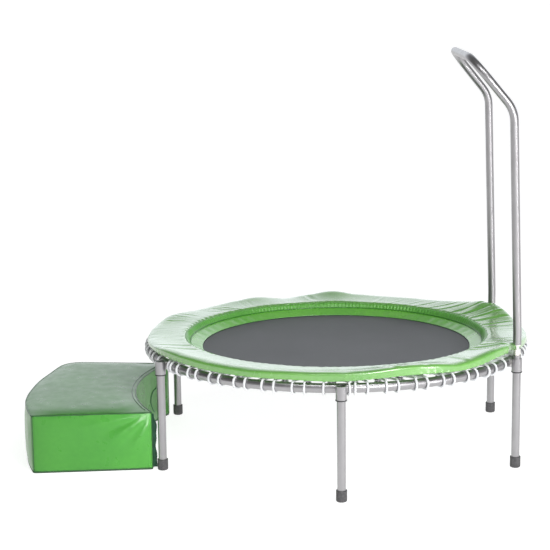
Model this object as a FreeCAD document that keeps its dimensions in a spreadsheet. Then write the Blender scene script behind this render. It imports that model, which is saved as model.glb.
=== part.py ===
"""A round exercise trampoline with a support handle and a foam step, in millimetres.

The frame is a round tube ring on six legs, with the mat laced to it by elastic loops and a padded
cover over the lacing. A bent handle stands on two of the legs, and a crescent foam block lies
against the opposite side as a step. +Z is up, the floor is z = 0, the handle is at +X and the step
at -X, and the origin is on the floor under the middle of the whole object.
"""

import FreeCAD, Part
import math
import os
import re

import Sketcher
from FreeCAD import Placement, Rotation, Vector

os.makedirs("parts", exist_ok=True)

SIZES = {
    # the ring, and where its axis stands
    "ring_x": 187.7,
    "ring_radius": 595.3,
    "ring_height": 328.8,
    "ring_tube_radius": 14.3,
    "tube_wall": 1.5,
    # six legs on a circle just outside the ring
    "leg_circle": 625.5,
    "leg_radius": 12.7,
    "leg_bottom": 8.0,
    "leg_top": 338.0,
    "handle_leg_top": 354.0,
    "sleeve_radius": 15.9,
    "sleeve_bore": 12.8,
    "sleeve_bottom": 303.0,
    "sleeve_top": 343.1,
    "collar_radius": 16.9,
    "collar_bottom": 300.0,
    "foot_radius": 16.2,
    "foot_height": 34.0,
    "foot_edge": 5.0,
    "cap_radius": 12.6,
    "cap_height": 4.0,
    "cap_edge": 3.0,
    "stem_length": 16.0,
    "weld_width": 7.0,
    "weld_start": 3.0,
    "weld_half_height": 11.0,
    # the joint between a leg and the handle
    "stud_radius": 5.9,
    "stud_bottom": 334.0,
    "insert_bore": 6.2,
    "insert_bottom": 330.0,
    "nut_bottom": 354.3,
    "nut_top": 372.0,
    "nut_corner_radius": 11.0,
    "flange_radius": 13.0,
    "flange_bottom": 384.0,
    # the handle's bent tube
    "handle_bottom": 386.0,
    "lean_start": 430.0,
    "lean_slope": 0.03,
    "incline_start": 1094.0,
    "crossbar_reach": 398.0,
    "crossbar_height": 1246.0,
    "crossbar_half": 285.0,
    "handle_bend": 95.0,
    "lean_bend": 800.0,
    # the mat and its lacing hooks
    "mat_radius": 450.0,
    "mat_top": 320.4,
    "mat_bottom": 319.2,
    "webbing_inside": 426.0,
    "webbing_bottom": 317.2,
    "pin_circle": 466.0,
    "pin_radius": 4.2,
    "pin_top": 329.3,
    "pin_bottom": 302.5,
    "pin_head_radius": 7.5,
    "pin_head": 1.8,
    "plate_inside": 434.0,
    "plate_outside": 474.0,
    "plate_width": 20.0,
    "plate_bottom": 314.2,
    # the elastic loops between the mat and the ring
    "loop_count": 42,
    "loop_offset": 5.5,
    "cord_radius": 3.5,
    "cord_gap": 0.3,
    "upper_bight": 322.5,
    "lower_bight": 308.5,
    "strand_spread": 17.0,
    "strand_displaced": 52.0,
    # the pad over the lacing
    "pad_inside": 472.0,
    "pad_outside": 607.0,
    "pad_bottom": 351.8,
    "pad_level_from": 588.0,
    "pad_inner_bottom": 340.0,
    "pad_wall_top": 355.0,
    "pad_inner_top": 362.0,
    "pad_inner_top_radius": 486.0,
    "pad_edge_top": 369.0,
    "pad_crown_top": 374.0,
    "pad_crown_radius": 575.0,
    "cover": 1.0,
    "cover_hem": 349.2,
    "notch_radius": 24.0,
    "band_inside": 431.0,
    "band_foot": 321.4,
    "band_head": 338.5,
    "band_thickness": 1.2,
    "seam_radius": 2.5,
    "hem_cord_radius": 1.2,
    # the foam step
    "step_inside": 650.0,
    "step_outside": 985.0,
    "step_height": 182.0,
    "step_near": 560.0,
    "step_far": 1010.0,
    "step_near_half": 311.0,
    "step_far_half": 350.0,
    "step_corner": 26.0,
    "step_tip": 8.0,
    "step_base": 3.0,
    "step_skin": 1.5,
    "welt_radius": 1.6,
    "zip_width": 10.0,
    "zip_thickness": 1.2,
    "zip_low": 10.0,
    "zip_high": 172.0,
    "zip_angle": 207.2,
}

# the legs' places round the ring, in degrees from +X
LEGS = {"front": -90, "front_right": -30, "rear_right": 30, "rear": 90, "rear_left": 150, "front_left": 210}
# the two legs that carry the handle, and the side of the handle that each carries
HANDLE_LEGS = {"front_right": "front", "rear_right": "rear"}

doc = FreeCAD.newDocument("Trampoline")
sheet = doc.addObject("Spreadsheet::Sheet", "Sizes")
for row, (alias, number) in enumerate(SIZES.items(), start=1):
    sheet.set(f"A{row}", alias)
    sheet.set(f"B{row}", str(number))
    sheet.setAlias(f"B{row}", alias)
doc.recompute()

sub_parts = []
UP = Vector(0, 0, 1)


def on_sheet(expression):
    """The expression, with each alias in it written as a reference to the sheet."""
    return re.sub(r"[a-z_]+", lambda word: f"Sizes.{word[0]}" if word[0] in SIZES else word[0], expression)


def size(expression):
    """What an expression of the sheet's aliases comes to."""
    return float(sheet.evalExpression(on_sheet(expression)))


def bind(thing, **expressions):
    """Binds properties of an object to expressions of the sheet's aliases."""
    for name, expression in expressions.items():
        thing.setExpression(name.replace("_of_", "."), on_sheet(expression))


def place(thing, x="0", y="0", z="0"):
    """Binds the place of an object."""
    bind(thing, Placement_of_Base_of_x=x, Placement_of_Base_of_y=y, Placement_of_Base_of_z=z)


def place_on_leg(thing, angle, height="0"):
    """Places an object on a leg's axis."""
    place(thing, f"ring_x + leg_circle * cos({angle} deg)", f"leg_circle * sin({angle} deg)", height)


def keep(thing, label):
    """Names a finished sub-part."""
    thing.Label = label
    sub_parts.append(thing)
    return thing


def cylinder(name, radius, height):
    thing = doc.addObject("Part::Cylinder", name)
    bind(thing, Radius=radius, Height=height)
    return thing


def cut(name, base, tool):
    thing = doc.addObject("Part::Cut", name)
    thing.Base = base
    thing.Tool = tool
    return thing


def common(name, *shapes):
    thing = doc.addObject("Part::MultiCommon", name)
    thing.Shapes = list(shapes)
    return thing


def upright_tube(name, outside, inside, low, high):
    """An upright tube on the Z axis of its own frame, its lower end at z = 0."""
    wall = cylinder(name + "_wall", outside, f"({high}) - ({low})")
    bore = cylinder(name + "_bore", inside, f"({high}) - ({low})")
    return cut(name, wall, bore)


def turned(name, outline):
    """A body turned about its Z axis, from an outline of (radius, height) expressions."""
    body = doc.addObject("PartDesign::Body", name)
    sketch = body.newObject("Sketcher::SketchObject", name + "_outline")
    plane = next(plane for plane in body.Origin.OriginFeatures if plane.Role == "XZ_Plane")
    sketch.AttachmentSupport = [(plane, "")]
    sketch.MapMode = "FlatFace"
    points = [Vector(size(radius), size(height), 0) for radius, height in outline]
    for index, point in enumerate(points):
        sketch.addGeometry(Part.LineSegment(point, points[(index + 1) % len(points)]), False)
    for index in range(len(points)):
        before = (index - 1) % len(points)
        sketch.addConstraint(Sketcher.Constraint("Coincident", before, 2, index, 1))
    for index, pair in enumerate(outline):
        for kind, axis, expression in zip(("DistanceX", "DistanceY"), (-2, -1), pair):
            if size(expression) == 0:
                sketch.addConstraint(Sketcher.Constraint("PointOnObject", index, 1, axis))
                continue
            number = sketch.addConstraint(Sketcher.Constraint(kind, -1, 1, index, 1, size(expression)))
            sketch.setExpression(f"Constraints[{number}]", on_sheet(expression))
    turn = body.newObject("PartDesign::Revolution", name + "_turn")
    turn.Profile = sketch
    turn.ReferenceAxis = (sketch, ["V_Axis"])
    turn.Angle = 360
    doc.recompute()
    return body


def round_edges(body, radius, height):
    """Rounds the circular edges of a turned body that lie at one height in its own frame."""
    turn = body.Tip
    edges = [
        f"Edge{number}"
        for number, edge in enumerate(turn.Shape.Edges, start=1)
        if abs(edge.BoundBox.ZMin - size(height)) < 0.01 and abs(edge.BoundBox.ZMax - size(height)) < 0.01
    ]
    fillet = body.newObject("PartDesign::Fillet", body.Name + "_rounding")
    fillet.Base = (turn, edges)
    bind(fillet, Radius=radius)


def fixed_shape(label, shape):
    """A sub-part whose shape comes from Part's own functions, placed on the ring's axis."""
    thing = doc.addObject("Part::Feature", label)
    thing.Shape = Part.makeCompound(shape.Solids)
    thing.Placement = Placement(Vector(size("ring_x"), 0, 0), Rotation())
    return keep(thing, label)


def rounded_path(corners, radii, closed=False):
    """A wire of straight runs through the corners, with a tangent arc of its own radius at each."""
    count = len(corners)
    inner = range(count) if closed else range(1, count - 1)
    starts, ends, arcs = {}, {}, {}
    for index in inner:
        before, corner, after = corners[index - 1], corners[index], corners[(index + 1) % count]
        back = (before - corner).normalize()
        ahead = (after - corner).normalize()
        half_turn = (math.pi - back.getAngle(ahead)) / 2
        tangent = radii[index] * math.tan(half_turn)
        starts[index] = corner + back * tangent
        ends[index] = corner + ahead * tangent
        bisector = (back + ahead).normalize()
        middle = corner + bisector * (radii[index] / math.cos(half_turn) - radii[index])
        arcs[index] = Part.Arc(starts[index], middle, ends[index]).toShape()
    edges = []
    for index in range(count):
        if index in arcs:
            edges.append(arcs[index])
        following = (index + 1) % count
        if following == 0 and not closed:
            break
        run_start = ends.get(index, corners[index])
        run_end = starts.get(following, corners[following])
        if run_start.distanceToPoint(run_end) > 0.001:
            edges.append(Part.LineSegment(run_start, run_end).toShape())
    return Part.Wire(edges)


def rod_along(path, radius):
    """A solid round rod swept along an open path."""
    first = path.OrderedEdges[0]
    start = path.OrderedVertexes[0].Point
    direction = first.tangentAt(first.FirstParameter)
    if first.valueAt(first.FirstParameter).distanceToPoint(start) > 0.001:
        direction = -first.tangentAt(first.LastParameter)
    section = Part.Wire([Part.Circle(start, direction, radius).toShape()])
    rod = path.makePipeShell([section], True, True)
    if rod.Volume < 0:
        rod.reverse()
    return rod


def check_volume(what, shape, expected):
    """Stops the build if a swept solid isn't its section times its length."""
    if abs(shape.Volume / expected - 1) > 0.005:
        raise ValueError(f"{what}: volume {shape.Volume:.0f}, expected {expected:.0f}")


# ---- ring and legs ----


def make_ring():
    """The ring is two half circles of tube that meet end to end."""
    for label, turn in (("ring_tube_rear", 0), ("ring_tube_front", 180)):
        pipes = []
        for side, radius in (("wall", "ring_tube_radius"), ("bore", "ring_tube_radius - tube_wall")):
            pipe = doc.addObject("Part::Torus", f"{label}_{side}")
            bind(pipe, Radius1="ring_radius", Radius2=radius)
            pipe.Angle3 = 180
            pipes.append(pipe)
        half = cut(label, *pipes)
        half.Placement.Rotation = Rotation(Vector(0, 0, 1), turn)
        place(half, "ring_x", "0", "ring_height")
        keep(half, label)


def make_leg(name, angle):
    """A leg: its tube, the sleeve on the ring that holds it, the stop collar and the rubber foot."""
    top = "handle_leg_top" if name in HANDLE_LEGS else "leg_top"
    tube = upright_tube(f"leg_tube_{name}", "leg_radius", "leg_radius - tube_wall", "leg_bottom", top)
    place_on_leg(tube, angle, "leg_bottom")
    keep(tube, f"leg_tube_{name}")
    holder = upright_tube(
        f"leg_sleeve_{name}", "sleeve_radius", "sleeve_bore", "sleeve_bottom", "sleeve_top"
    )
    place_on_leg(holder, angle, "sleeve_bottom")
    keep(holder, f"leg_sleeve_{name}")
    collar = upright_tube(
        f"leg_collar_{name}", "collar_radius", "leg_radius", "collar_bottom", "sleeve_bottom"
    )
    place_on_leg(collar, angle, "collar_bottom")
    keep(collar, f"leg_collar_{name}")
    foot = turned(
        f"leg_foot_{name}",
        [
            ("0", "0"),
            ("foot_radius", "0"),
            ("foot_radius", "foot_height"),
            ("leg_radius", "foot_height"),
            ("leg_radius", "leg_bottom"),
            ("0", "leg_bottom"),
        ],
    )
    round_edges(foot, "foot_edge", "0")
    place_on_leg(foot, angle)
    keep(foot, f"leg_foot_{name}")


def make_cap(name, angle):
    """The domed plug in the top of a plain leg, with a stem inside the leg's tube."""
    cap = turned(
        f"leg_cap_{name}",
        [
            ("0", "0"),
            ("leg_radius - tube_wall - 0.2", "0"),
            ("leg_radius - tube_wall - 0.2", "stem_length"),
            ("cap_radius", "stem_length"),
            ("cap_radius", "stem_length + cap_height"),
            ("0", "stem_length + cap_height"),
        ],
    )
    round_edges(cap, "cap_edge", "stem_length + cap_height")
    place_on_leg(cap, angle, "leg_top - stem_length")
    keep(cap, f"leg_cap_{name}")


def make_welds():
    """Short weld beads in the two grooves between each sleeve and the ring."""
    ring = Part.makeTorus(size("ring_radius"), size("ring_tube_radius"), Vector(0, 0, size("ring_height")))
    beads = []
    for angle in LEGS.values():
        for side in (-1, 1):
            width = size("weld_width")
            height = size("2 * weld_half_height")
            across = size("weld_start") if side > 0 else -size("weld_start") - width
            edge = size("leg_circle - sleeve_radius")
            corner = Vector(edge - 3.5, across, size("ring_height - weld_half_height"))
            bead = Part.makeBox(8.0, width, height, corner)
            post = Part.makeCylinder(
                size("sleeve_radius"), size("sleeve_top"), Vector(size("leg_circle"), 0, 0), UP
            )
            bead = bead.cut(post)
            bead.rotate(Vector(0, 0, 0), UP, angle)
            beads.extend(bead.cut(ring).Solids)
    fixed_shape("socket_welds", Part.makeCompound(beads))


# ---- handle ----


def make_handle():
    """One tube: up from the front leg, over toward the mat, across and down to the rear leg."""
    foot_x = size("leg_circle * cos(30 deg)")
    foot_y = size("leg_circle * sin(30 deg)")
    knee_x = foot_x - size("lean_slope * (incline_start - lean_start)")
    front = [
        Vector(foot_x, -foot_y, size("handle_bottom")),
        Vector(foot_x, -foot_y, size("lean_start")),
        Vector(knee_x, -foot_y, size("incline_start")),
        Vector(size("crossbar_reach"), -size("crossbar_half"), size("crossbar_height")),
    ]
    rear = [Vector(point.x, -point.y, point.z) for point in reversed(front)]
    bends = [0, size("lean_bend"), size("handle_bend"), size("handle_bend")]
    path = rounded_path(front + rear, bends + bends[::-1])
    wall = rod_along(path, size("leg_radius"))
    bore = rod_along(path, size("leg_radius - tube_wall"))
    bar = wall.cut(bore)
    section = math.pi * (size("leg_radius") ** 2 - size("leg_radius - tube_wall") ** 2)
    check_volume("handle_bar", bar, section * path.Length)
    fixed_shape("handle_bar", bar)


def make_coupling(name, side, angle):
    """What joins a leg to the handle: an end plug with its stud, a nut, and the leg's insert."""
    plug = turned(
        f"handle_stud_{side}",
        [
            ("0", "stud_bottom"),
            ("stud_radius", "stud_bottom"),
            ("stud_radius", "flange_bottom"),
            ("flange_radius", "flange_bottom"),
            ("flange_radius", "handle_bottom"),
            ("leg_radius - tube_wall", "handle_bottom"),
            ("leg_radius - tube_wall", "handle_bottom + stem_length"),
            ("0", "handle_bottom + stem_length"),
        ],
    )
    place_on_leg(plug, angle)
    keep(plug, f"handle_stud_{side}")
    blank = doc.addObject("Part::Prism", f"coupling_nut_{side}_blank")
    blank.Polygon = 6
    bind(blank, Circumradius="nut_corner_radius", Height="nut_top - nut_bottom")
    bore = cylinder(f"coupling_nut_{side}_bore", "insert_bore", "nut_top - nut_bottom")
    nut = cut(f"coupling_nut_{side}", blank, bore)
    place_on_leg(nut, angle, "nut_bottom")
    keep(nut, f"coupling_nut_{side}")
    insert = upright_tube(
        f"leg_insert_{name}", "leg_radius - tube_wall", "insert_bore", "insert_bottom", "handle_leg_top"
    )
    place_on_leg(insert, angle, "insert_bottom")
    keep(insert, f"leg_insert_{name}")


# ---- mat ----


def make_mat():
    """The jumping mat, and the webbing sewn under its rim."""
    mat = cylinder("mat_fabric", "mat_radius", "mat_top - mat_bottom")
    place(mat, "ring_x", "0", "mat_bottom")
    keep(mat, "mat_fabric")
    webbing = upright_tube("mat_webbing", "mat_radius", "webbing_inside", "webbing_bottom", "mat_bottom")
    place(webbing, "ring_x", "0", "webbing_bottom")
    keep(webbing, "mat_webbing")


def loop_angles():
    """The loops' places round the ring, in degrees from +X. The legs fall between them."""
    pitch = 360 / size("loop_count")
    return [size("loop_offset") + 30 + pitch * index for index in range(int(size("loop_count")))]


def make_hooks():
    """The lacing hooks: a plate under the webbing with a headed pin through it, one for each loop."""
    plate = Part.makeBox(
        size("plate_outside - plate_inside"),
        size("plate_width"),
        size("webbing_bottom - plate_bottom"),
        Vector(size("plate_inside"), -size("plate_width") / 2, size("plate_bottom")),
    )
    corners = [edge for edge in plate.Edges if abs(edge.tangentAt(0).z) > 0.9]
    plate = plate.makeFillet(size("plate_width") * 0.3, corners)
    centre = size("pin_circle")
    pin = Part.makeCylinder(
        size("pin_radius"), size("pin_top - pin_bottom"), Vector(centre, 0, size("pin_bottom")), UP
    )
    heads = [
        Part.makeCylinder(size("pin_head_radius"), size("pin_head"), Vector(centre, 0, low), UP)
        for low in (size("pin_top"), size("pin_bottom - pin_head"))
    ]
    hook = plate.multiFuse([pin, *heads]).removeSplitter()
    hooks = []
    for angle in loop_angles():
        turned_hook = hook.copy()
        turned_hook.rotate(Vector(0, 0, 0), UP, angle)
        hooks.extend(turned_hook.Solids)
    fixed_shape("mat_hooks", Part.makeCompound(hooks))


def strand_path(reach):
    """Half of one elastic loop: from the pin over the ring, round its outside and back below to the pin.

    The strand meets the ring the given distance to one side of the loop's own middle.
    """
    side = math.copysign(1, reach)
    cord = size("cord_radius")
    bight = size("pin_radius + cord_gap") + cord
    over_ring = math.sqrt(size("ring_radius") ** 2 - reach**2)
    span = over_ring - size("pin_circle")
    slant = math.atan2(abs(reach), span) - math.asin(bight / math.hypot(abs(reach), span))
    ahead = Vector(math.cos(slant), side * math.sin(slant), 0)
    # where the strand's line crosses the tangent on the mat side of the pin
    corner_y = bight * math.cos(slant) - bight * (1 - math.sin(slant)) * math.tan(slant)
    corner = Vector(size("pin_circle") - bight, side * corner_y, 0)
    # distances along the strand, seen in its own upright plane, which cuts the ring's tube at a slant
    crossing = (Vector(over_ring, reach, 0) - corner).dot(ahead)
    tube_slant = slant - math.asin(abs(reach) / size("ring_radius"))
    wrap = size("ring_tube_radius + cord_gap") / math.cos(tube_slant) + cord
    outer = crossing + wrap
    points = []
    for level, sign in ((size("upper_bight"), 1), (size("lower_bight"), -1)):
        rise = size("ring_height") - level
        slope = math.atan2(rise, crossing) + sign * math.asin(wrap / math.hypot(rise, crossing))
        far = level + outer * math.tan(slope)
        ring_corner = corner + ahead * outer + Vector(0, 0, far)
        pin_corner = corner + Vector(0, 0, level)
        start = Vector(pin_corner.x, 0, level)
        points.append((start, pin_corner, ring_corner))
    upper, lower = points
    corners = [*upper, *reversed(lower)]
    return rounded_path(corners, [0, bight, wrap, wrap, bight, 0])


def make_lacing():
    """The elastic loops. Each is doubled: it hooks on a pin above and below, and holds the ring between."""
    near = size("strand_spread")
    per_leg = int(size("loop_count")) // len(LEGS)
    section = math.pi * size("cord_radius") ** 2
    strands = {}
    for reach in (near, -near, size("strand_displaced")):
        path = strand_path(reach)
        strands[reach] = rod_along(path, size("cord_radius"))
        check_volume("lacing strand", strands[reach], section * path.Length)
        print(f"lacing strand at {reach:.0f}: {path.Length:.1f} long")
    solids = []
    for index, angle in enumerate(loop_angles()):
        beside_leg = index % per_leg == per_leg - 1
        for reach in (-near, size("strand_displaced") if beside_leg else near):
            strand = strands[reach].copy()
            strand.rotate(Vector(0, 0, 0), UP, angle)
            solids.extend(strand.Solids)
    fixed_shape("lacing_cord", Part.makeCompound(solids))


# ---- pad ----


def notched(name, body, low, high):
    """A ring-shaped body on the ring's axis, less a notch round each of the handle's legs."""
    place(body, "ring_x")
    for leg, side in HANDLE_LEGS.items():
        tool = cylinder(f"{name}_notch_{side}", "notch_radius", f"({high}) - ({low})")
        place_on_leg(tool, LEGS[leg], low)
        body = cut(f"{name}_{side}", body, tool)
    return body


def make_hoop(label, radius, height, thickness):
    """A cord round the ring's axis."""
    cord = doc.addObject("Part::Torus", label)
    bind(cord, Radius1=radius, Radius2=thickness)
    place(cord, "ring_x", "0", height)
    keep(cord, label)


def make_pad():
    """The pad: foam ring, its vinyl cover, the gathered band down to the mat, the seam and the hem."""
    foam = turned(
        "pad_foam_ring",
        [
            ("pad_inside", "pad_inner_bottom"),
            ("pad_level_from", "pad_bottom"),
            ("pad_outside", "pad_bottom"),
            ("pad_outside", "pad_edge_top"),
            ("pad_crown_radius", "pad_crown_top"),
            ("pad_inner_top_radius", "pad_inner_top"),
            ("pad_inside", "pad_wall_top"),
        ],
    )
    keep(notched("pad_foam", foam, "pad_bottom - 5", "pad_crown_top + 5"), "pad_foam")
    cover = turned(
        "pad_cover_ring",
        [
            ("pad_inside", "pad_inner_bottom"),
            ("pad_inside", "pad_wall_top"),
            ("pad_inner_top_radius", "pad_inner_top"),
            ("pad_crown_radius", "pad_crown_top"),
            ("pad_outside", "pad_edge_top"),
            ("pad_outside", "cover_hem"),
            ("pad_outside + cover", "cover_hem"),
            ("pad_outside + cover", "pad_edge_top + cover"),
            ("pad_crown_radius", "pad_crown_top + cover"),
            ("pad_inner_top_radius", "pad_inner_top + cover"),
            ("pad_inside - cover", "pad_wall_top + cover"),
            ("pad_inside - cover", "pad_inner_bottom"),
        ],
    )
    keep(notched("pad_cover", cover, "pad_bottom - 5", "pad_crown_top + 5"), "pad_cover")
    band = turned(
        "pad_inner_band",
        [
            ("band_inside", "band_foot"),
            ("band_inside + band_thickness", "band_foot"),
            ("pad_inside - 1", "band_head - band_thickness"),
            ("pad_inside - 1", "band_head"),
            ("pad_inside - 2", "band_head"),
            ("band_inside", "band_foot + band_thickness"),
        ],
    )
    place(band, "ring_x")
    keep(band, "pad_inner_band")
    make_hoop("pad_seam_piping", "pad_inside - 4", "band_head + seam_radius + 0.2", "seam_radius")
    hem_height = "pad_bottom - hem_cord_radius - 0.2"
    make_hoop("pad_hem_elastic", "pad_outside - hem_cord_radius - 0.4", hem_height, "hem_cord_radius")


# ---- step ----


def crescent(name, shrink, low, high):
    """The step's outline between two heights: two arcs round the ring's axis, and nearly parallel ends."""
    ends = doc.addObject("Part::Wedge", f"{name}_ends")
    ends.Zmin = ends.Z2min = 0
    ends.Ymin = 0
    bind(
        ends,
        Ymax="step_far - step_near",
        Zmax=f"({high}) - ({low})",
        Z2max=f"({high}) - ({low})",
        Xmin=f"{shrink} - step_near_half",
        Xmax=f"step_near_half - {shrink}",
        X2min=f"{shrink} - step_far_half",
        X2max=f"step_far_half - {shrink}",
    )
    ends.Placement.Rotation = Rotation(UP, 90)
    place(ends, "0 - step_near")
    outer = cylinder(f"{name}_outer", f"step_outside - {shrink}", f"({high}) - ({low})")
    inner = cylinder(f"{name}_inner", f"step_inside + {shrink}", f"({high}) - ({low})")
    block = cut(f"{name}_block", common(f"{name}_slab", ends, outer), inner)
    doc.recompute()
    rounding = doc.addObject("Part::Fillet", name)
    rounding.Base = block
    corners = []
    for number, edge in enumerate(block.Shape.Edges, start=1):
        box = edge.BoundBox
        if box.ZLength > 1 and box.XLength < 0.01:
            radius = size("step_tip" if box.XMax > -size("step_inside") else "step_corner")
            corners.append((number, radius, radius))
    rounding.Edges = corners
    place(rounding, "ring_x", "0", low)
    doc.recompute()
    return rounding


def make_step():
    """The step: its foam, the vinyl cover, the base panel, the welts along its edges and the zip."""
    keep(crescent("step_base", "0", "0", "step_base"), "step_base")
    keep(crescent("step_foam", "step_skin", "step_base", "step_height - step_skin"), "step_foam")
    shell = crescent("step_cover_outside", "0", "step_base", "step_height")
    hollow = crescent("step_cover_inside", "step_skin", "step_base", "step_height - step_skin")
    keep(cut("step_cover", shell, hollow), "step_cover")
    welts = []
    for height in (size("step_height - welt_radius"), size("step_base + welt_radius")):
        outline = shell.Shape.slice(UP, size("step_height / 2"))[0].makeOffset2D(size("welt_radius") + 0.1)
        outline.translate(Vector(-size("ring_x"), 0, height - size("step_height / 2")))
        edge = outline.OrderedEdges[0]
        start = edge.FirstParameter
        section = Part.Circle(edge.valueAt(start), edge.tangentAt(start), size("welt_radius"))
        welt = outline.makePipeShell([Part.Wire([section.toShape()])], True, True)
        check_volume("step welt", welt, math.pi * size("welt_radius") ** 2 * outline.Length)
        welts.extend(welt.Solids)
    fixed_shape("step_welts", Part.makeCompound(welts))


def make_zip():
    """The zip on the step's inner side, near its front tip: a tape with a slider at the top."""
    face = size("step_inside") - 0.3
    tape = Part.makeBox(
        size("zip_thickness"),
        size("zip_width"),
        size("zip_high - zip_low"),
        Vector(face - size("zip_thickness"), -size("zip_width") / 2, size("zip_low")),
    )
    slider_corner = Vector(face - size("zip_thickness") - 2.0, -3.0, size("zip_high") - 14.0)
    slider = Part.makeBox(2.0, 6.0, 12.0, slider_corner)
    tape = tape.fuse(slider).removeSplitter()
    tape.rotate(Vector(0, 0, 0), UP, size("zip_angle"))
    fixed_shape("step_zip", tape)


make_ring()
for leg, leg_angle in LEGS.items():
    make_leg(leg, leg_angle)
    if leg in HANDLE_LEGS:
        make_coupling(leg, HANDLE_LEGS[leg], leg_angle)
    else:
        make_cap(leg, leg_angle)
make_welds()
make_handle()
make_mat()
make_hooks()
make_lacing()
make_pad()
make_step()
make_zip()
doc.recompute()

for thing in doc.Objects:
    if "Invalid" in thing.State or "Error" in thing.State:
        raise ValueError(f"{thing.Name} is {thing.State}")
for thing in sub_parts:
    if thing.Shape.isNull() or not thing.Shape.isValid():
        raise ValueError(f"{thing.Label} has no valid shape")
for thing in sub_parts:
    thing.Shape.exportStep(os.path.join("parts", f"{thing.Label}.step"))
print(f"{len(sub_parts)} sub-parts written")
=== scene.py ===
"""Exercise trampoline with a laced mat, a padded vinyl rim, a support handle and a crescent foam step."""

import math

import bpy
import numpy as np
from mathutils import Matrix, Vector, noise
from mathutils.bvhtree import BVHTree


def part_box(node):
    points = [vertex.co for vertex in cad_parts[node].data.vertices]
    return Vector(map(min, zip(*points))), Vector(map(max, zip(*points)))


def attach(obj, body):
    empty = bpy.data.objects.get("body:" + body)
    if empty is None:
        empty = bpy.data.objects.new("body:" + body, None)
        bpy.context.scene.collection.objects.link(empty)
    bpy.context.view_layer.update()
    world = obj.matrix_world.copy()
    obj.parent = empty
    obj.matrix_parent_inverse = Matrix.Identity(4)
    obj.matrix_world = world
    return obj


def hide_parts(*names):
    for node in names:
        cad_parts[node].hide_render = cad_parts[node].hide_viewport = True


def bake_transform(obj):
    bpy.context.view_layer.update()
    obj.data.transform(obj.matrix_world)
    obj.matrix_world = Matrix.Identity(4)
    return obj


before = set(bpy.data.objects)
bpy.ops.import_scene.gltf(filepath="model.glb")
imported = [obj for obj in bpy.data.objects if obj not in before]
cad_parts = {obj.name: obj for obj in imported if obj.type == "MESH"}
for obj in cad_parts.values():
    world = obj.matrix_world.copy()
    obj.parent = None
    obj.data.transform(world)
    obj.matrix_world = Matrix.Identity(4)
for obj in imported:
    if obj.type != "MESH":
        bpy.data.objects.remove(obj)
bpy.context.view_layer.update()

MM = 0.001
rng = np.random.default_rng(48)

LEGS = ("front", "front_right", "rear_right", "rear", "rear_left", "front_left")
HANDLE_LEG_ANGLES = (-30, 30)

# places read from the frame, in metres
ring_low, ring_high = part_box("ring_tube_front")
mat_low, mat_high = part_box("mat_fabric")
step_low, step_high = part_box("step_cover")
AXIS_X = (mat_low.x + mat_high.x) / 2
TUBE_R = (ring_high.z - ring_low.z) / 2
RING_Z = (ring_high.z + ring_low.z) / 2
RING_R = -ring_low.y - TUBE_R
MAT_R = (mat_high.x - mat_low.x) / 2


# ---- meshes

def mesh_object(name, points, faces, material, uvs=None, smooth=True):
    """A mesh object from points in metres, in the row frame. uvs has one pair for each point."""
    mesh = bpy.data.meshes.new(name)
    mesh.from_pydata([tuple(p) for p in points], [], [tuple(f) for f in faces])
    mesh.update()
    if smooth:
        mesh.shade_smooth()
    if uvs is not None:
        layer = mesh.uv_layers.new(name="UVMap")
        corner_points = np.zeros(len(mesh.loops), int)
        mesh.loops.foreach_get("vertex_index", corner_points)
        layer.data.foreach_set("uv", np.asarray(uvs, np.float32)[corner_points].ravel())
    mesh.materials.append(material)
    piece = bpy.data.objects.new(name, mesh)
    bpy.context.scene.collection.objects.link(piece)
    return piece


def coordinates(piece, kind="co"):
    values = np.zeros(len(piece.data.vertices) * 3, np.float32)
    piece.data.vertices.foreach_get(kind, values)
    return values.reshape(-1, 3).astype(float)


def normals(piece):
    return coordinates(piece, "normal")


def set_coordinates(piece, points):
    piece.data.vertices.foreach_set("co", np.asarray(points, np.float32).ravel())
    piece.data.update()


def baked(piece):
    """Replaces the piece's mesh with what its modifiers make of it."""
    depsgraph = bpy.context.evaluated_depsgraph_get()
    mesh = bpy.data.meshes.new_from_object(piece.evaluated_get(depsgraph), depsgraph=depsgraph)
    piece.modifiers.clear()
    piece.data = mesh
    return piece


def subdivided(piece):
    modifier = piece.modifiers.new("Subdivision", "SUBSURF")
    modifier.levels = modifier.render_levels = 1
    modifier.boundary_smooth = "PRESERVE_CORNERS"
    return baked(piece)


def thickened(piece, thickness, offset):
    """Gives a sheet its thickness in metres: outward with offset 1, inward with -1, both ways with 0."""
    modifier = piece.modifiers.new("Solidify", "SOLIDIFY")
    modifier.thickness = thickness
    modifier.offset = offset
    return baked(piece)


def ring_faces(around, across, closed_across=True):
    """Quads of a grid that closes round the ring; point index = place round * across + place across."""
    faces = []
    columns = across if closed_across else across - 1
    for i in range(around):
        a, b = i * across, (i + 1) % around * across
        for j in range(columns):
            k = (j + 1) % across
            faces.append((a + j, b + j, b + k, a + k))
    return faces


def on_ring(angle, radius, height):
    """Points from angles in radians and radii and heights in metres about the ring's axis."""
    return np.stack([AXIS_X + radius * np.cos(angle), radius * np.sin(angle), height], -1)


def periodic(table, degrees, column):
    """A smooth curve through a table's column against its first column, an angle in degrees, round the ring."""
    at = np.array([row[0] for row in table], float)
    value = np.array([row[column] for row in table], float)
    at = np.concatenate([at[-2:] - 360, at, at[:2] + 360])
    value = np.concatenate([value[-2:], value, value[:2]])
    x = (np.asarray(degrees) + 180) % 360 - 180
    k = np.clip(np.searchsorted(at, x, "right") - 1, 1, len(at) - 3)
    slope = np.gradient(value, at)
    span = at[k + 1] - at[k]
    t = (x - at[k]) / span
    return (
        (2 * t**3 - 3 * t**2 + 1) * value[k]
        + (t**3 - 2 * t**2 + t) * span * slope[k]
        + (3 * t**2 - 2 * t**3) * value[k + 1]
        + (t**3 - t**2) * span * slope[k + 1]
    )


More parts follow.
